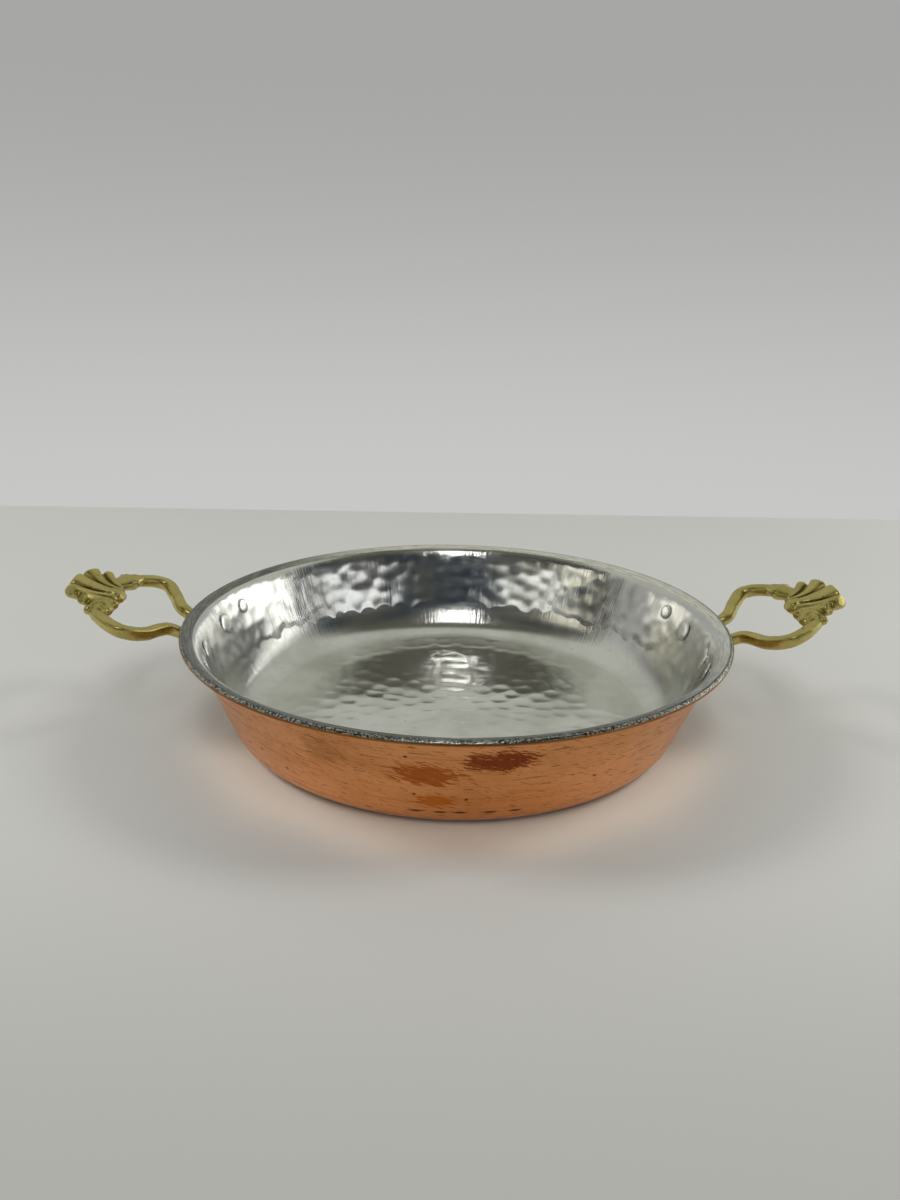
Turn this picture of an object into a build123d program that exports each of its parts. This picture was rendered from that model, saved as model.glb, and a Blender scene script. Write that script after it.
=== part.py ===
from build123d import *
from math import atan2, cos, radians, sin, sqrt, tan
import os

# A kunafa pan: a shallow round pan of copper sheet, tinned inside, with a turned-out rim.
# Two cast brass handles are riveted through the wall, each with a scallop shell on its loop.
# Millimetres and degrees. The pan stands on z = 0, with the handles along the X axis.

# Pan
pan_height = 43.0  # table to the top of the rim
rim_radius = 110.0  # outside of the rim's turned edge
rim_width = 6.0  # turned edge to the line where the wall begins, seen from above
rim_slope = 12.0  # the rim falls towards the wall by this angle
edge_bevel = 0.5  # hammered flat between the rim and its turned edge, underneath
lip_height = 2.6  # depth of the turned edge
base_radius = 89.2  # where the floor's line and the wall's line would meet, outside
corner_radius = 11.0  # outside bend from floor to wall
corner_flats = 2  # the bend is worked round in this many rings
sheet = 1.3  # copper thickness
tin = 0.25  # tin thickness

# Rivets: azimuth from the handle's middle and depth below the rim, head radius, shank radius
large_at = (9.0, 11.8)
small_at = (19.2, 9.6)
rivets = {"large": (*large_at, 4.8, 2.4), "small": (*small_at, 3.4, 1.9)}
head_thickness = 0.8
tail_thickness = 0.9
tail_margin = 0.8  # how far the hammered tail spreads past its shank
rivet_clearance = 0.05
rivet_sides = 8

# Wings of the handles, lobes along the wall: azimuth, depth below the rim, radius
plate = 2.2
plate_draft = 1.1  # each lobe narrows outwards by this much
lobe_sides = 8
wing_lobes = [(4.9, 10.8, 5.0), (*large_at, 6.4), (14.2, 10.6, 5.2), (*small_at, 5.4), (22.9, 9.2, 3.6)]

# Loop, from under the shell to the wall: outward from the rim, sideways, above the rim
loop_route = [
    (34.6, 0.0, 5.6),
    (32.0, 14.5, 5.2),
    (28.0, 22.0, 5.3),
    (18.0, 28.8, 2.3),
    (11.5, 22.4, -1.5),
    (5.5, 11.4, -3.4),
    (-0.5, 9.6, -6.3),
    (-10.5, 8.8, -12.0),
]
bar_radius = 2.85  # at the widest part of the loop
root_radius = 2.1  # at the wall
bar_sides = 8
crest_proud = 0.7  # raised crest along the bar
crest_angle = 52.0  # from the bar's inner side, upwards
bar_stations = 11  # sections from the calyx to the wall
bar_hidden = 0.16  # share of the bar inside the shell and the calyx

# Calyx, the cup that each arm leaves the shell by
cup_mouth = (28.4, 17.0, 6.8)
cup_half_width = 5.8
cup_half_height = 3.3
cup_length = 13.0
cup_sides = 8
cup_turn = 128.0  # the way that the cup opens, seen from above
cup_shape = [  # share of its length behind the lip, and of its size
    (-0.5, 0.5),
    (-0.04, 0.76),
    (0.0, 1.0),
    (0.35, 0.86),
    (1.0, 0.62),
]

# Scallop shell
heel_out = 25.0  # front face of the heel, outward from the rim
heel_size = (8.0, 8.4, 5.4)
heel_rise = 6.0
heel_chamfer = 2.0
shell_tilt = 16.0
rib_depth = 2.4
rib_sides = 8
rib_shape = [  # share of its way from the heel, of its half width and of its depth
    (0.0, 0.6, 0.85),
    (0.4, 0.72, 0.9),
    (0.72, 0.9, 1.05),
    (0.92, 1.0, 1.2),
    (1.0, 0.7, 0.9),
]
shell_ribs = [  # from the heel, bending towards the second point, to its tip, and its half width there
    ((25.8, 0.0, 6.4), (36.0, 0.0, 7.4), (45.0, 0.0, 13.2), 5.2),
    ((26.8, 3.8, 6.0), (36.6, 5.0, 6.8), (42.4, 11.8, 12.5), 3.8),
    ((27.4, 6.6, 5.4), (32.8, 8.0, 6.0), (37.0, 14.4, 10.6), 2.8),
]

rim_underside = pan_height - (sheet + tin) * cos(radians(rim_slope))
edge_radius = rim_radius - sheet
wall_top_radius = rim_radius - rim_width + sheet
wall_top = rim_underside - (edge_radius - wall_top_radius) * tan(radians(rim_slope))
wall_lean = atan2(wall_top, wall_top_radius - base_radius)


def outside_line():
    """The copper's outer face in half section, from the middle of the floor to the turned edge."""
    flat = base_radius - corner_radius * tan(wall_lean / 2)
    points = [(0, 0)]
    for step in range(corner_flats + 1):
        turn = wall_lean * step / corner_flats
        points.append((flat + corner_radius * sin(turn), corner_radius * (1 - cos(turn))))
    points += [
        (wall_top_radius, wall_top),
        (edge_radius - edge_bevel, rim_underside),
        (edge_radius, rim_underside - edge_bevel),
        (edge_radius, pan_height - lip_height),
    ]
    return [Vector(r, 0, z) for r, z in points]


def beside(line, distance):
    """The same line moved to its left, with sharp corners."""
    ways = [(b - a).normalized() for a, b in zip(line, line[1:])]
    moved = []
    for point, before, after in zip(line, ways[:1] + ways, ways + ways[-1:]):
        left = Vector(-before.Z, 0, before.X) + Vector(-after.Z, 0, after.X)
        moved.append(point + left * (2 * distance / left.dot(left)))
    return moved


def turned_between(line, near, far):
    """The ring between two distances to the left of a half section's line."""
    corners = beside(line, near) + beside(line, far)[::-1]
    return revolve(Face(Wire.make_polygon(corners, close=True)), Axis.Z)


def pan_body():
    return turned_between(outside_line(), 0, sheet)


def tin_lining():
    """The tin runs over the rim as far as its hammered edge."""
    return turned_between(outside_line()[:-2], sheet, sheet + tin)


def on_wall(azimuth, depth):
    """A plane that touches the wall's outer face, with its normal outwards and its y up the wall."""
    height = pan_height - depth
    radius = base_radius + height / tan(wall_lean)
    turn = radians(azimuth)
    return Plane(
        origin=(radius * cos(turn), radius * sin(turn), height),
        x_dir=(-sin(turn), cos(turn), 0),
        z_dir=(sin(wall_lean) * cos(turn), sin(wall_lean) * sin(turn), -cos(wall_lean)),
    )


def oval(plane, half_width, half_height, sides):
    """Corners of a many-sided oval in a plane, as wide along its x as it says."""
    corners = []
    for side in range(sides):
        turn = radians(360 * (side + 0.5) / sides)
        corner = Vector(half_width * cos(turn), half_height * sin(turn), 0)
        corners.append(plane.from_local_coords(corner))
    return corners


def faceted(rings):
    """A loft with flat facets through rings of corners, closed by the first ring and the last."""
    facets = [rings[0], rings[-1]]
    for near, far in zip(rings, rings[1:]):
        for side in range(len(near)):
            facets.append([near[side - 1], near[side], far[side]])
            facets.append([near[side - 1], far[side], far[side - 1]])
    return Solid(Shell([Face(Wire.make_polygon(facet, close=True)) for facet in facets]))


def wing():
    """Scalloped plate along the wall, its sides drafted as a casting's are."""
    lobes = []
    for azimuth, depth, radius in wing_lobes:
        seat = on_wall(azimuth, depth)
        face = radius - plate_draft
        under = oval(seat, radius, radius, lobe_sides)
        over = oval(seat.offset(plate), face, face, lobe_sides)
        lobes.append(faceted([under, over]))
    return lobes[0] + lobes[1:]


def bar_ring(line, share):
    """The cast bar with its crest, across the loop at a share of the loop's length."""
    along = line % share
    inward = Vector(0, 0, 1).cross(along).normalized()
    plane = Plane(origin=line @ share, x_dir=inward, z_dir=along)
    radius = bar_radius - (bar_radius - root_radius) * (2 * share - 1) ** 2
    corners = []
    for side in range(bar_sides):
        reach = radius + (crest_proud if side == 0 else 0)
        corners.append(Vector(reach, 0, 0).rotate(Axis.Z, crest_angle + 360 * side / bar_sides))
    return [plane.from_local_coords(corner) for corner in corners]


def above_rim(out, side, rise):
    return (rim_radius + out, side, pan_height + rise)


def half_loop():
    points = [above_rim(*point) for point in loop_route]
    line = Spline(*points, tangents=[(0, 1, 0), (-1, 0, -0.6)])
    step = (1 - bar_hidden) / (bar_stations - 1)
    shares = [0] + [bar_hidden + step * station for station in range(bar_stations)]
    return faceted([bar_ring(line, share) for share in shares])


def cup():
    """The calyx flares to its lip, and closes beyond it to the bar."""
    turn = radians(cup_turn)
    opening = Vector(cos(turn), sin(turn), 0)
    mouth = Vector(*above_rim(*cup_mouth))
    sections = []
    for back, size in cup_shape:
        spot = mouth - opening * cup_length * back
        plane = Plane(origin=spot, x_dir=(-sin(turn), cos(turn), 0), z_dir=opening)
        sections.append(oval(plane, cup_half_width * size, cup_half_height * size, cup_sides))
    return faceted(sections)


def rib(start, bend, tip, half_width):
    """One fluted rib of the shell, which fans out from the heel and is rounded off at its tip."""
    way = Bezier(above_rim(*start), above_rim(*bend), above_rim(*tip))
    sections = []
    for share, width, depth in rib_shape:
        ahead = way % share
        across = Vector(0, 0, 1).cross(ahead).normalized()
        plane = Plane(origin=way @ share, x_dir=across, z_dir=ahead)
        sections.append(oval(plane, half_width * width, rib_depth * depth, rib_sides))
    return faceted(sections)


def heel():
    block = chamfer(Box(*heel_size).edges(), heel_chamfer)
    centre = above_rim(heel_out + heel_size[0] / 2, 0, heel_rise)
    return Pos(*centre) * Rot(0, -shell_tilt, 0) * block


def prism(plane, radius, near, far):
    """A rivet's many-sided rod, square to a plane, between two heights over it."""
    return extrude(plane.offset(near) * RegularPolygon(radius, rivet_sides), far - near)


def rivet(azimuth, depth, head, shank):
    """Flat head on the tin, shank through the wall and the wing, and a hammered tail outside."""
    seat = on_wall(azimuth, depth)
    wall_radius = seat.origin.Y / sin(radians(azimuth))
    sag = wall_radius - sqrt(wall_radius**2 - head**2)
    under_head = -(sheet + tin + sag + rivet_clearance)
    over_wing = plate + rivet_clearance
    head_disc = prism(seat, head, under_head - head_thickness, under_head)
    shank_bar = prism(seat, shank, under_head, over_wing)
    tail_disc = prism(seat, shank + tail_margin, over_wing, over_wing + tail_thickness)
    return head_disc + shank_bar + tail_disc


def rivet_hole(azimuth, depth, head, shank):
    reach = 2 * (sheet + tin + plate)
    return prism(on_wall(azimuth, depth), shank + rivet_clearance, -reach, reach)


def all_four(piece):
    """The piece, and its mirror images across both of the pan's planes, by name."""
    back = mirror(piece, Plane.XZ)
    return {
        "right_front": back,
        "right_back": piece,
        "left_front": mirror(back, Plane.YZ),
        "left_back": mirror(piece, Plane.YZ),
    }


def handle():
    """The right-hand casting: loop, calyxes, shell and wings in one piece, cut to the wall."""
    half = half_loop() + wing() + cup() + [rib(*values) for values in shell_ribs[1:]]
    whole = half + mirror(half, Plane.XZ) + rib(*shell_ribs[0]) + heel()
    inside_wall = Cone(base_radius, wall_top_radius, wall_top, align=(Align.CENTER, Align.CENTER, Align.MIN))
    return whole - inside_wall


os.makedirs("parts", exist_ok=True)
holes = [hole for size in rivets.values() for hole in all_four(rivet_hole(*size)).values()]
right = handle() - holes
pieces = {
    "pan_body": pan_body() - holes,
    "tin_lining": tin_lining() - holes,
    "handle_right": right,
    "handle_left": mirror(right, Plane.YZ),
}
for size, values in rivets.items():
    for place, piece in all_four(rivet(*values)).items():
        pieces[f"rivet_{size}_{place}"] = piece
for name, piece in pieces.items():
    export_step(piece, f"parts/{name}.step")
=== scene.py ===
from math import atan2, cos, exp, hypot, log, pi, radians, sin, tan
from random import Random

import bmesh
import bpy
from mathutils import Matrix, Vector, noise
from mathutils.geometry import interpolate_bezier
from mathutils.kdtree import KDTree


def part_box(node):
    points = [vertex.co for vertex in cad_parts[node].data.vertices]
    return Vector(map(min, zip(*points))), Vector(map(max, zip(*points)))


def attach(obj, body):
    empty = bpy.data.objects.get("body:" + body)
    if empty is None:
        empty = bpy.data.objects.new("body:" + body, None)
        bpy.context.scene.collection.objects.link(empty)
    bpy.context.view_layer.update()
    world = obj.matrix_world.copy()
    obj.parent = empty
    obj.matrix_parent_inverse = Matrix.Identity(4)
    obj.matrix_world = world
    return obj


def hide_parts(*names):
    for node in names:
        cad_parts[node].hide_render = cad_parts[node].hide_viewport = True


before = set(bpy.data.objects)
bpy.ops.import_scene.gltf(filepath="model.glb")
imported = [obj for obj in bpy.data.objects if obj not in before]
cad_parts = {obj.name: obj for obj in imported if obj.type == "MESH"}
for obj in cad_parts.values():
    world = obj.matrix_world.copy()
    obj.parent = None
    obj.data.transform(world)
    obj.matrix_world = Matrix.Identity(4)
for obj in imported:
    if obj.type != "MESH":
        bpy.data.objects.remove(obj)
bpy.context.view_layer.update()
bpy.ops.object.select_all(action="DESELECT")

# The pan's body is one disc of copper sheet, raised over stakes into a floor, a leaning wall and
# a rim whose edge is turned down. It was scoured along its rows of hammer marks, which leaves
# streaks, and it has tarnished in brushed patches. Lengths are in metres.
rim_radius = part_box("pan_body")[1].x
pan_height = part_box("tin_lining")[1].z
rim_width = 0.0060
rim_slope = radians(7)
lip_height = 0.0020
base_radius = 0.0892
corner_radius = 0.0110
top_bend = 0.0011
edge_bevel = 0.00015
sheet = 0.0013
tin = 0.00025

edge_radius = rim_radius - sheet
rim_underside = pan_height - (sheet + tin) * cos(rim_slope)
wall_top_radius = rim_radius - rim_width + sheet
wall_top = rim_underside - (edge_radius - wall_top_radius) * tan(rim_slope)
wall_lean = atan2(wall_top, wall_top_radius - base_radius)
flat_radius = base_radius - corner_radius * tan(wall_lean / 2)


def between(start, end, steps):
    """Points after start, up to and with end, each with the turn of the sheet there."""
    return [tuple(a + (b - a) * step / steps for a, b in zip(start, end)) for step in range(1, steps + 1)]


def sheet_line():
    """The copper's outer face in half section: radius, height and how far the sheet has turned."""
    line = [(0.0, 0.0, 0.0)] + between((0.0, 0.0, 0.0), (flat_radius, 0.0, 0.0), 14)
    for step in range(1, 5):
        turn = wall_lean * step / 4
        line.append((flat_radius + corner_radius * sin(turn), corner_radius * (1 - cos(turn)), turn))
    below_bend = (wall_top_radius - top_bend * cos(wall_lean), wall_top - top_bend * sin(wall_lean))
    above_bend = (wall_top_radius + top_bend * cos(rim_slope), wall_top + top_bend * sin(rim_slope))
    line += between(line[-1], (*below_bend, wall_lean), 7)
    line.append((*above_bend, rim_slope))
    line.append((edge_radius - edge_bevel, rim_underside, rim_slope))
    line.append((edge_radius - edge_bevel, rim_underside, radians(-28)))
    line.append((edge_radius - 0.0001, rim_underside - 0.0001, radians(-66)))
    line.append((edge_radius, pan_height - lip_height, radians(-90)))
    return line


def raised(line, lift):
    """The line moved off the copper's outer face, towards the inside of the pan."""
    return [(radius - lift * sin(turn), height + lift * cos(turn)) for radius, height, turn in line]


def spun(name, outline, steps):
    """A round piece: half of its outline is drawn point by point and spun about the pan's axis."""
    bpy.ops.mesh.primitive_plane_add(size=0.001)
    piece = bpy.context.object
    piece.name = name
    bpy.ops.object.mode_set(mode="EDIT")
    bpy.ops.mesh.merge(type="CENTER")
    bpy.ops.transform.translate(value=(outline[0][0], 0, outline[0][1]))
    for (radius, height), (next_radius, next_height) in zip(outline, outline[1:]):
        step = (next_radius - radius, 0, next_height - height)
        bpy.ops.mesh.extrude_vertices_move(TRANSFORM_OT_translate={"value": step})
    bpy.ops.mesh.select_all(action="SELECT")
    bpy.ops.mesh.spin(steps=steps, angle=2 * pi, center=(0, 0, 0), axis=(0, 0, 1))
    bpy.ops.mesh.select_all(action="SELECT")
    bpy.ops.mesh.remove_doubles(threshold=0.00001)
    bpy.ops.mesh.normals_make_consistent(inside=False)
    bpy.ops.object.mode_set(mode="OBJECT")
    bpy.ops.object.shade_smooth()
    rounding = piece.modifiers.new("rounding", "SUBSURF")
    rounding.levels = 2
    rounding.render_levels = 2
    bpy.ops.object.modifier_apply(modifier=rounding.name)
    return piece


def pushed(piece, push_at):
    """Moves each point along its normal, by what push_at says for its place and normal."""
    skin = [(vertex.co.copy(), vertex.normal.copy()) for vertex in piece.data.vertices]
    places = [place + normal * push_at(place, normal) for place, normal in skin]
    piece.data.vertices.foreach_set("co", [number for place in places for number in place])
    piece.data.update()


def dressed(piece, material, slot, *nodes):
    """Gives a finished piece its material, and lets it stand for its CAD nodes."""
    piece.data.materials.clear()
    piece.data.materials.append(material)
    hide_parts(*nodes)
    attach(piece, "root")
    piece.select_set(False)


def start_material(name, base_color, metallic, roughness):
    """A new node material, with its tree, its shader and the object's coordinates."""
    material = bpy.data.materials.new(name)
    material.use_nodes = True
    tree = material.node_tree
    shader = tree.nodes["Principled BSDF"]
    shader.inputs["Base Color"].default_value = (*base_color, 1)
    shader.inputs["Metallic"].default_value = metallic
    shader.inputs["Roughness"].default_value = roughness
    place = tree.nodes.new("ShaderNodeTexCoord").outputs["Object"]
    return material, tree, shader, place


def add_noise(tree, place, scale, detail=3.0, roughness=0.5, distortion=0.0):
    """Noise over the given place, with scale in features per metre."""
    node = tree.nodes.new("ShaderNodeTexNoise")
    node.inputs["Scale"].default_value = scale
    node.inputs["Detail"].default_value = detail
    node.inputs["Roughness"].default_value = roughness
    node.inputs["Distortion"].default_value = distortion
    tree.links.new(place, node.inputs["Vector"])
    return node.outputs["Fac"]


def add_math(tree, operation, first, second=None, third=None):
    """A sum or the like of numbers and sockets."""
    node = tree.nodes.new("ShaderNodeMath")
    node.operation = operation
    for socket, value in zip(node.inputs, (first, second, third)):
        if isinstance(value, (int, float)):
            socket.default_value = value
        elif value is not None:
            tree.links.new(value, socket)
    return node.outputs[0]


def add_stretch(tree, place, size):
    """The place scaled along each axis, so that what is drawn over it comes out drawn long."""
    node = tree.nodes.new("ShaderNodeVectorMath")
    node.operation = "MULTIPLY"
    node.inputs[1].default_value = size
    tree.links.new(place, node.inputs[0])
    return node.outputs["Vector"]


def add_round_place(tree, place, around, up):
    """Coordinates that run round the pan without a seam: the direction from its axis, and the height."""
    flat = add_stretch(tree, place, (1, 1, 0))
    node = tree.nodes.new("ShaderNodeVectorMath")
    node.operation = "NORMALIZE"
    tree.links.new(flat, node.inputs[0])
    ring = add_stretch(tree, node.outputs["Vector"], (around, around, 0))
    height = add_stretch(tree, place, (0, 0, up))
    total = tree.nodes.new("ShaderNodeVectorMath")
    total.operation = "ADD"
    tree.links.new(ring, total.inputs[0])
    tree.links.new(height, total.inputs[1])
    return total.outputs["Vector"]


def add_range(tree, value, low, high, to_low=0.0, to_high=1.0):
    """Eases the value from one range to another, and holds it there."""
    node = tree.nodes.new("ShaderNodeMapRange")
    node.interpolation_type = "SMOOTHSTEP"
    for name, number in (("From Min", low), ("From Max", high), ("To Min", to_low), ("To Max", to_high)):
        node.inputs[name].default_value = number
    tree.links.new(value, node.inputs["Value"])
    return node.outputs["Result"]


def add_mix(tree, share, first, second):
    """A colour between two colours, each a tuple or a socket."""
    node = tree.nodes.new("ShaderNodeMix")
    node.data_type = "RGBA"
    for socket, value in ((node.inputs[6], first), (node.inputs[7], second)):
        if isinstance(value, tuple):
            socket.default_value = (*value, 1)
        else:
            tree.links.new(value, socket)
    tree.links.new(share, node.inputs[0])
    return node.outputs[2]


def add_bump(tree, shader, height, strength, distance):
    """Relief too fine for the mesh."""
    node = tree.nodes.new("ShaderNodeBump")
    node.inputs["Strength"].default_value = strength
    node.inputs["Distance"].default_value = distance
    tree.links.new(height, node.inputs["Height"])
    tree.links.new(node.outputs["Normal"], shader.inputs["Normal"])


def add_patch(tree, place, centre, size):
    """1 in the middle of an egg-shaped patch of the surface and 0 outside it."""
    node = tree.nodes.new("ShaderNodeVectorMath")
    node.operation = "SUBTRACT"
    tree.links.new(place, node.inputs[0])
    node.inputs[1].default_value = centre
    scaled = add_stretch(tree, node.outputs["Vector"], tuple(1 / length for length in size))
    length = tree.nodes.new("ShaderNodeVectorMath")
    length.operation = "LENGTH"
    tree.links.new(scaled, length.inputs[0])
    return add_range(tree, length.outputs["Value"], 0.2, 1.0, 1.0, 0.0)


# Tarnish: azimuth, height, half length, half height, strength and colour.
tarnish_patches = [(-82.6, 0.0314, 0.0180, 0.0074, 0.95, (0.22, 0.034, 0.003)),
                   (-96.0, 0.0249, 0.0180, 0.0072, 0.90, (0.43, 0.105, 0.006)),
                   (-94.5, 0.0128, 0.0105, 0.0046, 0.90, (0.58, 0.170, 0.010)),
                   (-116.0, 0.0290, 0.0120, 0.0095, 0.42, (0.38, 0.150, 0.035)),
                   (40.0, 0.0200, 0.0200, 0.0090, 0.60, (0.34, 0.100, 0.012)),
                   (118.0, 0.0280, 0.0160, 0.0070, 0.80, (0.24, 0.050, 0.006))]
# Pits and nicks: azimuth and height.
pits = [(-99.6, 0.0327), (-98.7, 0.0158), (-135.5, 0.0166), (-140.8, 0.0156), (-128.4, 0.0131),
        (-88.5, 0.0141), (-62.0, 0.0180), (25.0, 0.0260), (96.0, 0.0120), (150.0, 0.0300)]
nick_height = 0.0077
nick_azimuths = (-98.8, -93.7, -89.6, -83.5, -78.2, 60.0, 66.0, 71.5, 160.0, 167.0)
hammer_nicks = [(azimuth, nick_height) for azimuth in nick_azimuths]


def on_outside(azimuth, height):
    """A place on the wall's outer face."""
    radius = base_radius + height / tan(wall_lean)
    return (radius * cos(radians(azimuth)), radius * sin(radians(azimuth)), height)


def copper_material():
    copper, tree, shader, place = start_material("satin_copper", (0.78, 0.38, 0.18), 1.0, 0.33)
    streak = add_noise(tree, add_round_place(tree, place, 1.8, 1500.0), 1.0, 4.0, 0.62)
    fine_streak = add_noise(tree, add_round_place(tree, place, 9.0, 4200.0), 1.0, 3.0, 0.6)
    cloud = add_noise(tree, add_round_place(tree, place, 3.0, 60.0), 1.0, 5.0, 0.65)
    # The planishing hammer's rows leave short dark dashes in lines round the wall.
    height = tree.nodes.new("ShaderNodeSeparateXYZ")
    tree.links.new(place, height.inputs["Vector"])
    wander = add_noise(tree, add_round_place(tree, place, 2.0, 0.0), 1.0, 2.0, 0.5)
    row = add_math(tree, "MULTIPLY_ADD", wander, 0.9, add_math(tree, "MULTIPLY", height.outputs["Z"], 265.0))
    row = add_math(tree, "ABSOLUTE", add_math(tree, "SUBTRACT", add_math(tree, "FRACT", row), 0.5))
    row = add_range(tree, row, 0.02, 0.075, 1.0, 0.0)
    dash = add_noise(tree, add_round_place(tree, place, 11.0, 260.0), 1.0, 2.0, 0.5)
    dash = add_math(tree, "MULTIPLY", row, add_range(tree, dash, 0.56, 0.63))
    colour = add_mix(tree, add_range(tree, cloud, 0.35, 0.7), (0.80, 0.375, 0.150), (0.70, 0.305, 0.105))
    colour = add_mix(tree, add_range(tree, streak, 0.50, 0.68, 0.0, 0.45), colour, (0.52, 0.21, 0.07))
    slant = tree.nodes.new("ShaderNodeMapping")
    slant.inputs["Rotation"].default_value = (0, radians(-24), 0)
    tree.links.new(place, slant.inputs["Vector"])
    brush = add_noise(tree, add_stretch(tree, slant.outputs["Vector"], (190.0, 190.0, 1700.0)), 1.0, 5.0, 0.7)
    cross_brush = add_noise(tree, add_round_place(tree, place, 17.0, 1500.0), 1.0, 5.0, 0.7)
    brush = add_math(tree, "MULTIPLY_ADD", brush, 0.6, add_math(tree, "MULTIPLY", cross_brush, 0.4))
    brush = add_range(tree, brush, 0.38, 0.60)
    for azimuth, spot_height, long, tall, strength, tint in tarnish_patches:
        patch = add_patch(tree, place, on_outside(azimuth, spot_height), (long, 0.03, tall))
        worn = add_math(tree, "MULTIPLY_ADD", patch, 1.0, brush)
        colour = add_mix(tree, add_range(tree, worn, 0.88, 1.22, 0.0, strength), colour, tint)
    for azimuth, spot_height in pits:
        pit = add_patch(tree, place, on_outside(azimuth, spot_height), (0.0009, 0.003, 0.0007))
        colour = add_mix(tree, pit, colour, (0.012, 0.008, 0.006))
    for azimuth, spot_height in hammer_nicks:
        nick = add_patch(tree, place, on_outside(azimuth, spot_height), (0.0034, 0.004, 0.0008))
        colour = add_mix(tree, nick, colour, (0.07, 0.035, 0.02))
    colour = add_mix(tree, add_math(tree, "MULTIPLY", dash, 0.75), colour, (0.10, 0.05, 0.028))
    # Painted shade: the turned-down lip and the wall just under the rim are painted dark brown, as the shade
    # under the rim.
    under_rim_shade = add_range(tree, height.outputs["Z"], wall_top - 0.0014, wall_top - 0.0002, 0.0, 0.8)
    colour = add_mix(tree, under_rim_shade, colour, (0.32, 0.13, 0.03))
    tree.links.new(colour, shader.inputs["Base Color"])
    grain = add_math(tree, "MULTIPLY_ADD", fine_streak, 0.5, add_math(tree, "MULTIPLY", streak, 0.6))
    tree.links.new(add_range(tree, grain, 0.3, 0.8, 0.27, 0.44), shader.inputs["Roughness"])
    add_bump(tree, shader, add_math(tree, "SUBTRACT", grain, dash), 0.35, 0.0002)
    return copper


# Under the tin the copper's inner face lies a little low, except along the last points of its line.
top_points = 8
edge_face = raised(sheet_line(), sheet)[-top_points:][::-1]
hidden_face = raised(sheet_line()[:-top_points], sheet * 0.85)[::-1]
pan_body = spun("pan_body_copper", raised(sheet_line(), 0.0) + edge_face + hidden_face[1:], 104)
dressed(pan_body, copper_material(), "copper", "pan_body")

# The tin lining was wiped over the hot copper, across the whole inside and round the rim's edge.
# It follows the copper's hammer marks: wide shallow ones in rows on the floor, and closer and
# deeper ones on the wall.
floor_bowl = 0.062
wall_bowl = 0.046
soft_ridge = 0.000012
floor_relief = 0.00015
wall_relief = 0.00022
floor_drift = 0.0012
wall_drift = 0.0024
nearest_marks = 4


def hammer_rows():
    """Places of the marks, row by row, each with the radius of the bowl that it left."""
    chance = Random(4)
    marks = []
    rows = [(0.0040 + 0.0083 * row, sheet + tin, 0.0088, floor_bowl) for row in range(10)]
    for height in (0.0090, 0.0150, 0.0215, 0.0275, 0.0335, 0.0385):
        rows.append((base_radius + height / tan(wall_lean) - 0.0016, height, 0.0086, wall_bowl))
    for radius, height, pitch, bowl in rows:
        count = round(2 * pi * radius / pitch)
        start = chance.uniform(0, 2 * pi)
        for mark in range(count):
            turn = start + 2 * pi * (mark + chance.uniform(-0.32, 0.32)) / count
            drift, lean = (floor_drift, 0.0) if bowl == floor_bowl else (wall_drift, wall_lean)
            shift = chance.uniform(-drift, drift)
            across = radius + shift * cos(lean)
            up = height + shift * sin(lean)
            place = Vector((across * cos(turn), across * sin(turn), up))
            marks.append((place, bowl * chance.uniform(0.75, 1.4)))
    return marks


def planish(piece, marks):
    """Sinks each point of the inside to the bowls of its nearest marks, softly where bowls meet."""
    tree = KDTree(len(marks))
    for number, (place, _) in enumerate(marks):
        tree.insert(place, number)
    tree.balance()

    def sunk(spot, normal):
        inwards = Vector((-spot.x, -spot.y, 0)).normalized()
        if spot.z > wall_top - 0.001 or (normal.z < 0.9 and normal.dot(inwards) < 0.35):
            return 0.0
        relief = floor_relief if spot.z < 0.004 else wall_relief
        total = exp(-relief / soft_ridge)
        for _, number, distance in tree.find_n(spot, nearest_marks):
            total += exp(-distance**2 / (2 * marks[number][1]) / soft_ridge)
        uneven = (0.00003 if relief == wall_relief else 0.000008) * noise.noise(spot * 150)
        return -soft_ridge * log(total) - 0.5 * relief + uneven

    pushed(piece, sunk)


def add_lean(tree, place):
    """How far a place lies to the right and the back, where the rim is painted as lit."""
    lean = tree.nodes.new("ShaderNodeVectorMath")
    lean.operation = "DOT_PRODUCT"
    lean.inputs[1].default_value = (1, 1, 0)
    tree.links.new(place, lean.inputs[0])
    return lean.outputs["Value"]


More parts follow.
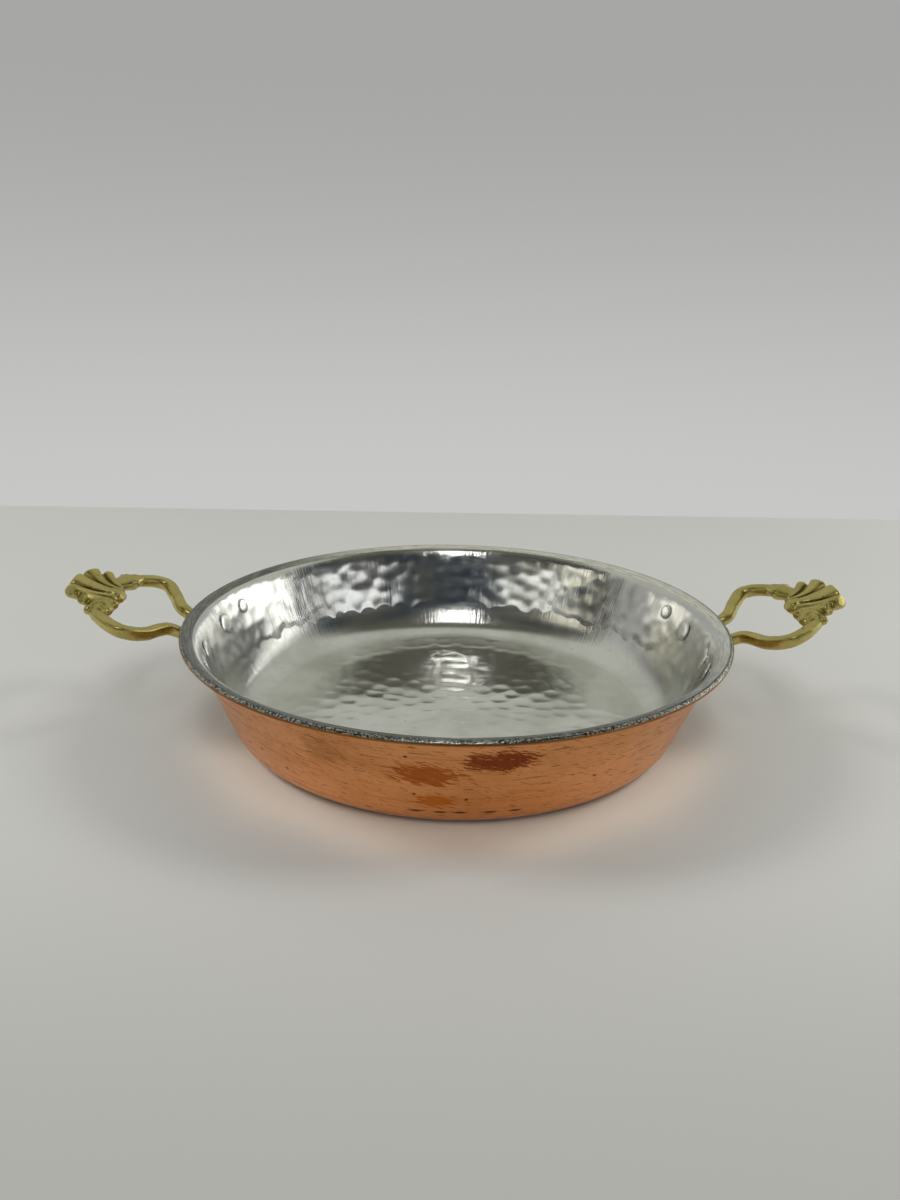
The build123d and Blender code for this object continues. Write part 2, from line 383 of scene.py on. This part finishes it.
def tin_material():
    bright_tin, tree, shader, place = start_material("wiped_tin", (0.80, 0.80, 0.77), 1.0, 0.14)
    wipe = add_noise(tree, add_round_place(tree, place, 3.0, 260.0), 1.0, 5.0, 0.65)
    cloud = add_noise(tree, place, 38.0, 5.0, 0.6)
    scratch = add_noise(tree, add_round_place(tree, place, 5.0, 2400.0), 1.0, 3.0, 0.6)
    speck = add_range(tree, add_noise(tree, place, 420.0, 2.0, 0.5), 0.70, 0.78)
    height = tree.nodes.new("ShaderNodeSeparateXYZ")
    tree.links.new(place, height.inputs["Vector"])
    on_rim = add_range(tree, height.outputs["Z"], wall_top + 0.0003, wall_top + 0.0007)
    on_floor = add_range(tree, height.outputs["Z"], 0.0022, 0.0034, 1.0, 0.0)
    radius = tree.nodes.new("ShaderNodeVectorMath")
    radius.operation = "LENGTH"
    tree.links.new(add_stretch(tree, place, (1, 1, 0)), radius.inputs[0])
    on_edge = add_range(tree, radius.outputs["Value"], rim_radius - 0.0020, rim_radius - 0.0014)
    rolled = add_range(tree, radius.outputs["Value"], rim_radius - 0.0013, rim_radius - 0.0008)
    mottle = add_noise(tree, place, 1300.0, 4.0, 0.7)
    rings = tree.nodes.new("ShaderNodeCombineXYZ")
    tree.links.new(add_math(tree, "MULTIPLY", radius.outputs["Value"], 1700.0), rings.inputs["Z"])
    filed_along = tree.nodes.new("ShaderNodeVectorMath")
    filed_along.operation = "ADD"
    tree.links.new(add_round_place(tree, place, 14.0, 0.0), filed_along.inputs[0])
    tree.links.new(rings.outputs["Vector"], filed_along.inputs[1])
    file_mark = add_noise(tree, filed_along.outputs["Vector"], 1.0, 4.0, 0.65)
    wiped_up = add_noise(tree, add_round_place(tree, place, 150.0, 60.0), 1.0, 3.0, 0.6)
    colour = add_mix(tree, add_range(tree, cloud, 0.35, 0.7), (0.84, 0.84, 0.81), (0.70, 0.70, 0.66))
    colour = add_mix(tree, add_math(tree, "MULTIPLY", speck, 0.45), colour, (0.25, 0.25, 0.22))
    # Painted light and shade: the filed rim is painted light to the right and the back, as a painted
    # highlight, and dark to the left and the front, as painted shade. The file marks run through both.
    lit_side = add_range(tree, add_lean(tree, place), -0.04, 0.09)
    shaded_filing = add_mix(tree, add_range(tree, file_mark, 0.35, 0.65), (0.07, 0.07, 0.062), (0.27, 0.27, 0.24))
    lit_filing = add_mix(tree, add_range(tree, file_mark, 0.35, 0.65), (0.70, 0.70, 0.62), (1.0, 1.0, 0.92))
    filed = add_mix(tree, lit_side, shaded_filing, lit_filing)
    colour = add_mix(tree, add_math(tree, "MULTIPLY", on_rim, 0.9), colour, filed)
    # Painted shade: a mottled dark ring is painted where the flange turns down into the rolled edge, as the
    # dark line of a groove.
    rim_edge_shade = add_mix(tree, add_range(tree, mottle, 0.42, 0.60), (0.05, 0.05, 0.043), (0.30, 0.30, 0.27))
    worn_bright = add_mix(tree, add_range(tree, mottle, 0.42, 0.58), (0.05, 0.05, 0.043), (0.60, 0.60, 0.55))
    colour = add_mix(tree, on_edge, colour, add_mix(tree, rolled, rim_edge_shade, worn_bright))
    tree.links.new(colour, shader.inputs["Base Color"])
    rough = add_math(tree, "MULTIPLY_ADD", wipe, 0.6, add_math(tree, "MULTIPLY", cloud, 0.4))
    rough = add_range(tree, rough, 0.35, 0.7, 0.13, 0.23)
    rough = add_math(tree, "MULTIPLY_ADD", on_floor, -0.045, rough)
    rough = add_math(tree, "MULTIPLY_ADD", on_rim, 0.07, rough)
    tree.links.new(rough, shader.inputs["Roughness"])
    grain = add_math(tree, "MULTIPLY_ADD", add_math(tree, "MULTIPLY", scratch, on_rim), 1.5, cloud)
    grain = add_math(tree, "MULTIPLY_ADD", add_math(tree, "SUBTRACT", 1.0, on_floor), wiped_up, grain)
    grain = add_math(tree, "MULTIPLY_ADD", add_math(tree, "MULTIPLY", mottle, on_edge), 1.6, grain)
    add_bump(tree, shader, grain, 0.14, 0.0006)
    return bright_tin


# Where the tin's underside is out of sight, every fourth point of its line will do.
tin_line = sheet_line()[:-1]
tin_line[-1] = (edge_radius - edge_bevel, rim_underside, radians(-66))
under = raised(tin_line, sheet + 0.00002)
under = under[-6:][::-1] + under[-8::-4]
tin_lining = spun("tin_lining_bright", raised(tin_line, sheet + tin) + under, 104)
planish(tin_lining, hammer_rows())
dressed(tin_lining, tin_material(), "tin", "tin_lining")

# Eight copper rivets hold the handles, two large and two small on each side. Their flat heads lie
# on the lining and were tinned with it, and their tails were hammered over on the handles' wings.
large_at = (9.0, 0.0118)
small_at = (19.2, 0.0096)
plate = 0.0022
head_thickness = 0.0008
tail_thickness = 0.0009
rivet_sizes = (("large", large_at, 0.0048, 0.0024), ("small", small_at, 0.0034, 0.0019))


def wall_seat(azimuth, depth, over):
    """A place on the wall's outer face or over it, its z axis outwards and its y axis up the wall."""
    height = pan_height - depth
    radius = base_radius + height / tan(wall_lean)
    turn = radians(azimuth)
    out = Vector((sin(wall_lean) * cos(turn), sin(wall_lean) * sin(turn), -cos(wall_lean)))
    side = Vector((-sin(turn), cos(turn), 0))
    spot = Vector((radius * cos(turn), radius * sin(turn), height)) + out * over
    return Matrix.Translation(spot) @ Matrix((side, out.cross(side), out)).transposed().to_4x4()


def rivet(name, head, shank):
    """Head, shank and tail in one outline, spun; it stands on z = 0, where the wall's outer face is."""
    top = -(sheet + tin + 0.00012)
    tail = shank + 0.0008
    head_line = [(0, top - head_thickness), (head * 0.5, top - head_thickness),
                 (head * 0.88, top - head_thickness * 0.86), (head, top - head_thickness * 0.35),
                 (head * 0.98, top)]
    shank_line = [(shank + 0.0002, top), (shank, top + 0.0003), (shank, plate - 0.0001),
                  (shank + 0.0002, plate)]
    tail_line = [(tail * 0.96, plate), (tail, plate + tail_thickness * 0.4),
                 (tail * 0.85, plate + tail_thickness * 0.8), (tail * 0.45, plate + tail_thickness),
                 (0, plate + tail_thickness)]
    piece = spun(name, head_line + shank_line + tail_line, 24)
    pushed(piece, lambda spot, normal: 0.00003 * noise.noise(spot * 300))
    return piece


for size, (azimuth, depth), head, shank in rivet_sizes:
    for side, half_turn in (("right", 0), ("left", 180)):
        for place, sign in (("back", 1), ("front", -1)):
            piece = rivet(f"rivet_{size}_{side}_{place}_head", head, shank)
            towards_back = sign if side == "right" else -sign
            piece.data.transform(wall_seat(half_turn + towards_back * azimuth, depth, 0.0))
            dressed(piece, bpy.data.materials["wiped_tin"], "tinned_rivet", f"rivet_{size}_{side}_{place}")

# Each handle is one sand casting in brass: a loop with a raised crest, two calyxes, a scallop
# shell with five ribs, and two lobed wings that hug the wall under the rim. It was filed, not
# polished. Its recesses are painted dark, as painted shade that also stands for the patina there.
loop_route = [
    (0.0346, 0.0, 0.0056),
    (0.0320, 0.0145, 0.0052),
    (0.0280, 0.0220, 0.0053),
    (0.0180, 0.0288, 0.0023),
    (0.0115, 0.0224, -0.0015),
    (0.0055, 0.0114, -0.0034),
    (-0.0005, 0.0096, -0.0063),
    (-0.0105, 0.0088, -0.0120),
]
bar_radius = 0.00285
root_radius = 0.0021
crest_angle = radians(52)
crest_rise = 1.34
cup_mouth = (0.0284, 0.0170, 0.0068)
cup_turn = radians(128)
cup_length = 0.0130
cup_shape = [(1.0, 0.0036, 0.0020), (0.5, 0.0044, 0.0026), (0.2, 0.0053, 0.0031), (0.07, 0.0060, 0.0035),
             (0.0, 0.0061, 0.0035), (-0.01, 0.0053, 0.0031), (-0.06, 0.0045, 0.0028), (-0.5, 0.0027, 0.0024)]
bead_reach = 0.0050
bead_size = (0.0018, 0.0019, 0.0014, 1)
rib_depth = 0.0024
rib_shape = [(0.0, 0.56, 0.85), (0.2, 0.60, 0.90), (0.45, 0.69, 0.97), (0.7, 0.85, 1.1), (0.86, 0.97, 1.22),
             (0.95, 1.0, 1.24), (0.98, 0.97, 1.15), (1.0, 0.80, 0.95)]
shell_ribs = [((0.0258, 0.0, 0.0064), (0.0360, 0.0, 0.0074), (0.0450, 0.0, 0.0132), 0.0052),
              ((0.0268, 0.0038, 0.0060), (0.0366, 0.0050, 0.0068), (0.0424, 0.0118, 0.0125), 0.0038),
              ((0.0274, 0.0066, 0.0054), (0.0328, 0.0080, 0.0060), (0.0370, 0.0144, 0.0106), 0.0028)]
heel_size = (0.0080, 0.0084, 0.0054)
heel_chamfer = 0.0020
heel_at = (0.0290, 0, 0.0060)
shell_tilt = radians(-16)
wing_lobes = [(4.9, 0.0108, 0.0050), (*large_at, 0.0064), (14.2, 0.0106, 0.0052), (*small_at, 0.0054),
              (22.9, 0.0092, 0.0036)]
lobe_shape = [(-0.0007, 0.9), (0.0002, 1.0), (0.0012, 0.97), (0.0021, 0.80), (0.00225, 0.5)]
groove_points = 30
groove_half_width = 0.0016
groove_depth = 0.0007
hollow_depth = 0.0013
hollow_size = (0.0016, 0.0034)
hollow_ahead = 0.0036


def over_rim(out, side, rise):
    """A place given from the rim's edge: outwards, sideways and up."""
    return Vector((rim_radius + out, side, pan_height + rise))


def forged(name, sections, sides, crest=1.0):
    """A solid drawn out of a many-sided disc: each section is a place and two half widths."""
    bpy.ops.mesh.primitive_circle_add(vertices=sides, radius=1, fill_type="NGON")
    piece = bpy.context.object
    piece.name = name
    piece.data.vertices[0].co *= crest
    bpy.ops.object.mode_set(mode="EDIT")
    mesh = bmesh.from_edit_mesh(piece.data)
    last = Matrix.Identity(4)
    for number, (place, wide, high) in enumerate(sections):
        if number:
            bpy.ops.mesh.extrude_region_move()
            mesh = bmesh.from_edit_mesh(piece.data)
        section = place @ Matrix.Diagonal((wide, high, 1, 1))
        ring = [vertex for vertex in mesh.verts if vertex.select]
        bmesh.ops.transform(mesh, matrix=section @ last.inverted(), verts=ring)
        last = section
    bmesh.update_edit_mesh(piece.data)
    bpy.ops.mesh.select_all(action="SELECT")
    bpy.ops.mesh.normals_make_consistent(inside=False)
    bpy.ops.object.mode_set(mode="OBJECT")
    rounding = piece.modifiers.new("rounding", "SUBSURF")
    rounding.levels = 1
    rounding.render_levels = 1
    bpy.ops.object.modifier_apply(modifier=rounding.name)
    return piece


def facing(spot, side, ahead):
    """A place whose z axis looks ahead and whose x axis lies to the side."""
    ahead = ahead.normalized()
    side = (side - ahead * side.dot(ahead)).normalized()
    return Matrix.Translation(spot) @ Matrix((side, ahead.cross(side), ahead)).transposed().to_4x4()


def smooth_way(knots, steps):
    """Points of a smooth way through the knots, each with its share of the way and the way ahead."""
    ends = [knots[0]] + knots + [knots[-1]]
    points = [knots[0]]
    for before, start, end, after in zip(ends, ends[1:], ends[2:], ends[3:]):
        third = (end - start).length / 3
        leave = start + (end - before).normalized() * third
        arrive = end - (after - start).normalized() * third
        points += interpolate_bezier(start, leave, arrive, end, steps + 1)[1:]
    ways = [after - before for before, after in zip(points[:1] + points, points[1:] + points[-1:])]
    return [(number / (len(points) - 1), *both) for number, both in enumerate(zip(points, ways))]


def loop_bar():
    """One arm of the loop, from under the shell to the wall, with its crest inside and up."""
    sections = []
    for share, spot, ahead in smooth_way([over_rim(*knot) for knot in loop_route], 6):
        radius = bar_radius - (bar_radius - root_radius) * (2 * share - 1) ** 2
        inward = Vector((0, 0, 1)).cross(ahead).normalized()
        crest = inward * cos(crest_angle) + ahead.normalized().cross(inward) * sin(crest_angle)
        sections.append((facing(spot, crest, ahead), radius, radius * 0.97))
    return forged("bar", sections, 12, crest=crest_rise)


def calyx_place(back):
    """The calyx's section at a share of its length behind its lip."""
    opening = Vector((cos(cup_turn), sin(cup_turn), 0))
    side = Vector((-sin(cup_turn), cos(cup_turn), 0))
    return facing(over_rim(*cup_mouth) - opening * cup_length * back, side, opening)


def calyx():
    """The cup at the shell's side: it flares to a lip that curls into a bead at each end."""
    cup = forged("calyx", [(calyx_place(back), wide, high) for back, wide, high in cup_shape], 16)
    pieces = [cup]
    for side in (-1, 1):
        bpy.ops.mesh.primitive_ico_sphere_add(subdivisions=3, radius=1)
        bead = bpy.context.object
        bead_place = calyx_place(0.03) @ Matrix.Translation((side * bead_reach, 0.0004, 0))
        bead.data.transform(bead_place @ Matrix.Diagonal(bead_size))
        pieces.append(bead)
    return pieces


def shell_rib(start, bend, tip, half_width):
    """One rib of the shell, which fans out from the heel and is blunt at its tip."""
    start, bend, tip = over_rim(*start), over_rim(*bend), over_rim(*tip)
    sections = []
    for share, wide, high in rib_shape:
        spot = start.lerp(bend, share).lerp(bend.lerp(tip, share), share)
        ahead = (bend - start).lerp(tip - bend, share)
        across = Vector((0, 0, 1)).cross(ahead)
        sections.append((facing(spot, across, ahead), half_width * wide, rib_depth * high))
    return forged("rib", sections, 14)


def shell_heel():
    """The blunt, filed block that the middle rib ends in."""
    bpy.ops.mesh.primitive_cube_add(size=1)
    heel = bpy.context.object
    heel.scale = heel_size
    bpy.ops.object.transform_apply(scale=True)
    edges = heel.modifiers.new("filed edges", "BEVEL")
    edges.width = heel_chamfer
    edges.segments = 1
    bpy.ops.object.modifier_apply(modifier=edges.name)
    heel.data.transform(Matrix.Translation(over_rim(*heel_at)) @ Matrix.Rotation(shell_tilt, 4, "Y"))
    return heel


def wing():
    """The lobed plate under the rim, its underside sunk a little into the wall."""
    lobes = []
    for azimuth, depth, radius in wing_lobes:
        sections = [(wall_seat(azimuth, depth, over), radius * wide, radius * wide)
                    for over, wide in lobe_shape]
        lobes.append(forged("lobe", sections, 16))
    return lobes


def seated(casting):
    """Trims the casting back to the wall's outer face, which it sinks into by a hair."""
    for vertex in casting.data.vertices:
        radius = hypot(vertex.co.x, vertex.co.y)
        wall_radius = base_radius + vertex.co.z / tan(wall_lean) - 0.0002
        if radius < wall_radius and vertex.co.z < wall_top:
            vertex.co.x *= wall_radius / radius
            vertex.co.y *= wall_radius / radius


def groove_lines():
    """Points along the chased grooves between neighbouring ribs, on one half of the shell."""
    tree = KDTree((len(shell_ribs) - 1) * groove_points)
    for number, (first, second) in enumerate(zip(shell_ribs, shell_ribs[1:])):
        share_across = first[3] / (first[3] + second[3])
        for step in range(groove_points):
            share = 0.12 + 0.85 * step / (groove_points - 1)
            ways = []
            for knots in (first, second):
                start, bend, tip = [over_rim(*knot) for knot in knots[:3]]
                ways.append(start.lerp(bend, share).lerp(bend.lerp(tip, share), share))
            tree.insert(ways[0].lerp(ways[1], share_across) + Vector((0, 0, 0.0008)), number)
    tree.balance()
    return tree


grooves = groove_lines()


def hollowed(spot, normal):
    """The casting's uneven skin, its grooves, and the hollows where the arms leave the calyxes."""
    half_spot = Vector((spot.x, abs(spot.y), spot.z))
    place = calyx_place(0).inverted() @ half_spot
    reach = hypot(place.x / hollow_size[0], (place.z - hollow_ahead) / hollow_size[1])
    hollow = hollow_depth * max(0.0, 1 - reach**2) if place.y > 0 else 0.0
    nearest = grooves.find(half_spot)[2] / groove_half_width
    groove = groove_depth * (1 - nearest**2) if nearest < 1 and normal.z > 0 else 0.0
    return 0.00008 * noise.noise(spot * 260) - max(hollow, groove)


def mirrored(pieces, axis):
    """The pieces and their mirror images across the plane square to an axis."""
    copies = []
    for piece in pieces:
        copy = piece.copy()
        copy.data = piece.data.copy()
        bpy.context.scene.collection.objects.link(copy)
        copy.data.transform(Matrix.Diagonal((-1 if axis == "X" else 1, -1 if axis == "Y" else 1, 1, 1)))
        copy.data.flip_normals()
        copies.append(copy)
    return copies


def brass_material():
    brass, tree, shader, place = start_material("cast_brass", (0.60, 0.48, 0.20), 1.0, 0.34)
    cloud = add_noise(tree, place, 90.0, 4.0, 0.6)
    grit = add_noise(tree, place, 2200.0, 3.0, 0.6)
    lump = add_noise(tree, place, 520.0, 3.0, 0.55)
    pit = add_range(tree, add_noise(tree, place, 900.0, 1.0, 0.4), 0.70, 0.76)
    # Painted shade: ambient occlusion paints the recesses and grooves dark brown, which also stands for the
    # patina in them.
    cavity = tree.nodes.new("ShaderNodeAmbientOcclusion")
    cavity.inputs["Distance"].default_value = 0.0030
    recess_shade_and_patina = add_range(tree, cavity.outputs["AO"], 0.40, 0.92, 1.0, 0.0)
    colour = add_mix(tree, add_range(tree, cloud, 0.3, 0.7), (0.64, 0.545, 0.195), (0.51, 0.43, 0.13))
    colour = add_mix(tree, add_math(tree, "MULTIPLY", recess_shade_and_patina, 0.85), colour, (0.15, 0.105, 0.03))
    colour = add_mix(tree, add_math(tree, "MULTIPLY", pit, 0.6), colour, (0.14, 0.09, 0.03))
    tree.links.new(colour, shader.inputs["Base Color"])
    tree.links.new(add_range(tree, lump, 0.3, 0.7, 0.26, 0.38), shader.inputs["Roughness"])
    height = add_math(tree, "MULTIPLY_ADD", grit, 0.25, lump)
    add_bump(tree, shader, add_math(tree, "SUBTRACT", height, pit), 0.25, 0.0003)
    return brass


def cast(name, pieces):
    """Melts the pieces into one casting with soft inner corners and a slightly uneven skin."""
    bpy.ops.object.select_all(action="DESELECT")
    for piece in pieces:
        piece.select_set(True)
    bpy.context.view_layer.objects.active = pieces[0]
    bpy.ops.object.join()
    casting = bpy.context.object
    casting.name = name
    skin = casting.modifiers.new("one skin", "REMESH")
    skin.mode = "VOXEL"
    skin.voxel_size = 0.0003
    skin.use_smooth_shade = True
    bpy.ops.object.modifier_apply(modifier=skin.name)
    soft = casting.modifiers.new("soft corners", "SMOOTH")
    soft.factor = 0.5
    soft.iterations = 4
    bpy.ops.object.modifier_apply(modifier=soft.name)
    pushed(casting, hollowed)
    seated(casting)
    return casting


half = [loop_bar(), *calyx(), *[shell_rib(*values) for values in shell_ribs[1:]], *wing()]
whole = half + mirrored(half, "Y") + [shell_rib(*shell_ribs[0]), shell_heel()]
handle_right = cast("handle_right_brass", whole)
handle_left = mirrored([handle_right], "X")[0]
handle_left.name = "handle_left_brass"
cast_brass = brass_material()
dressed(handle_right, cast_brass, "cast_brass", "handle_right")
dressed(handle_left, cast_brass, "cast_brass", "handle_left")

# The table is a pale board, painted darker near the camera as a painted shadow. Its far edge is where the
# photograph's table meets the wall.
# The camera sees a pale wall all round, and the metal mirrors a dim room in front of the table.
bpy.ops.mesh.primitive_plane_add(size=1, location=(0, -0.57, 0))
table = bpy.context.object
table.name = "table"
table.scale = (3.2, 1.86, 1)
bpy.ops.object.transform_apply(location=True, scale=True)
pale, tree, shader, place = start_material("pale_table", (0.60, 0.60, 0.59), 0.0, 0.5)
blotch = add_noise(tree, place, 7.0, 3.0, 0.5)
colour = add_mix(tree, blotch, (0.545, 0.545, 0.535), (0.515, 0.515, 0.505))
# Painted shadow: the board's near part is painted darker, as a shadow falling from the camera's side.
near_shadow = tree.nodes.new("ShaderNodeSeparateXYZ")
tree.links.new(place, near_shadow.inputs["Vector"])
near_shadow = add_range(tree, near_shadow.outputs["Y"], -0.24, -0.08, 1.0, 0.0)
tree.links.new(add_mix(tree, near_shadow, colour, (0.42, 0.42, 0.41)), shader.inputs["Base Color"])
table.data.materials.append(pale)

world = bpy.data.worlds.new("studio")
bpy.context.scene.world = world
world.use_nodes = True
tree = world.node_tree
direction = tree.nodes.new("ShaderNodeTexCoord").outputs["Generated"]
split = tree.nodes.new("ShaderNodeSeparateXYZ")
tree.links.new(direction, split.inputs["Vector"])
backdrop = add_range(tree, split.outputs["Y"], -0.12, 0.12)
ceiling = add_range(tree, split.outputs["Z"], 0.55, 0.95)
middle = add_range(tree, add_math(tree, "ABSOLUTE", split.outputs["X"]), 0.10, 0.24)
room = add_noise(tree, direction, 2.6, 2.0, 0.5)
room = add_math(tree, "MULTIPLY", middle, add_range(tree, room, 0.44, 0.58))
room = add_mix(tree, room, (0.022, 0.032, 0.046), (0.085, 0.083, 0.066))
room = add_mix(tree, ceiling, room, (0.10, 0.10, 0.08))
wall = add_range(tree, split.outputs["Z"], -0.22, 0.22)
wall = add_mix(tree, wall, (0.57, 0.57, 0.565), (0.385, 0.387, 0.38))
wall = add_mix(tree, add_range(tree, split.outputs["Z"], 0.28, 0.45), wall, (0.47, 0.475, 0.43))
room = add_mix(tree, backdrop, room, wall)
room = add_mix(tree, tree.nodes.new("ShaderNodeLightPath").outputs["Is Camera Ray"], room, wall)
tree.links.new(room, tree.nodes["Background"].inputs["Color"])
tree.nodes["Background"].inputs["Strength"].default_value = 1.0


def add_lamp(name, place, size, power, colour, in_metal=True):
    """A soft box that faces the pan, which the metal can mirror or not."""
    data = bpy.data.lights.new(name, "AREA")
    data.shape = "RECTANGLE"
    data.size, data.size_y = size
    data.energy = power
    data.color = colour
    lamp = bpy.data.objects.new(name, data)
    lamp.location = place
    lamp.rotation_euler = (Vector((0, 0, 0.02)) - Vector(place)).to_track_quat("-Z", "Y").to_euler()
    lamp.visible_glossy = in_metal
    bpy.context.scene.collection.objects.link(lamp)


def add_soft_light(name, elevation, strength):
    """Broad even light from the camera's side or from above, too soft to be seen in the metal."""
    data = bpy.data.lights.new(name, "SUN")
    data.energy = strength
    data.angle = radians(60)
    light = bpy.data.objects.new(name, data)
    light.rotation_euler = (radians(90 - elevation), 0, 0)
    light.visible_glossy = False
    bpy.context.scene.collection.objects.link(light)


add_soft_light("soft_front", 35, 0.65)
add_soft_light("soft_above", 82, 0.10)
add_lamp("side_left", (-1.05, 0.10, 0.95), (0.4, 0.4), 7.2, (1.0, 0.99, 0.96), False)
add_lamp("side_right", (1.05, 0.10, 0.95), (0.4, 0.4), 6.8, (1.0, 0.99, 0.93), False)
add_lamp("tube", (-0.03, -0.94, 1.29), (0.12, 0.80), 2.6, (1.0, 1.0, 1.0))
add_lamp("window_right", (1.30, 0.75, 0.36), (1.35, 0.44), 2.4, (1.0, 1.0, 0.96))
add_lamp("window_left", (-1.24, 1.00, 0.24), (0.5, 0.3), 0.5, (1.0, 0.97, 0.82))
add_lamp("lamp_left", (-1.33, -0.51, 0.76), (0.4, 0.3), 0.5, (1.0, 0.97, 0.82))
add_lamp("row_right", (1.12, -0.76, 0.46), (1.2, 0.24), 1.0, (0.98, 0.99, 1.0))
add_lamp("row_left", (-0.85, -1.01, 0.50), (0.9, 0.20), 0.7, (0.98, 1.0, 0.98))

# The copper wall throws a warm glow on the table at its foot.
glow_radius = 0.101
glow_height = 0.018
glow_size = (0.050, 0.006)
glow_power = 0.0020
glow_tilt = radians(38)
for azimuth in (-146, -118, -90, -62, -34):
    turn = radians(azimuth + 90)
    data = bpy.data.lights.new(f"glow_{azimuth + 180}", "AREA")
    data.shape = "RECTANGLE"
    data.size, data.size_y = glow_size
    data.energy = glow_power
    data.color = (1.0, 0.70, 0.45)
    glow = bpy.data.objects.new(data.name, data)
    glow.location = (glow_radius * sin(turn), -glow_radius * cos(turn), glow_height)
    glow.rotation_euler = (glow_tilt, 0, turn)
    glow.visible_camera = False
    glow.visible_glossy = False
    bpy.context.scene.collection.objects.link(glow)

# The camera stands where the photograph's did, from the fit to the rim, the wall and the handles.
# The picture is 900 by 1200, and the focal length is 902 of its pixels.
focal_pixels = 902
picture_height = 1200
sensor = 36
camera_place = Vector((-0.0072, -0.3486, 0.1694))
camera_yaw = radians(0.73)
camera_pitch = radians(18.97)
camera_roll = radians(1.08)
ahead = Vector((sin(camera_yaw) * cos(camera_pitch), cos(camera_yaw) * cos(camera_pitch), -sin(camera_pitch)))
level = Vector((cos(camera_yaw), -sin(camera_yaw), 0))
upright = level.cross(ahead)
right = level * cos(camera_roll) + upright * sin(camera_roll)
top = -level * sin(camera_roll) + upright * cos(camera_roll)
camera_data = bpy.data.cameras.new("camera")
camera_data.sensor_width = sensor
camera_data.lens = focal_pixels / picture_height * sensor
camera_data.clip_start = 0.01
camera = bpy.data.objects.new("camera", camera_data)
camera.matrix_world = Matrix.Translation(camera_place) @ Matrix((right, top, -ahead)).transposed().to_4x4()
bpy.context.scene.collection.objects.link(camera)
bpy.context.scene.camera = camera
bpy.context.scene.view_settings.view_transform = "Standard"
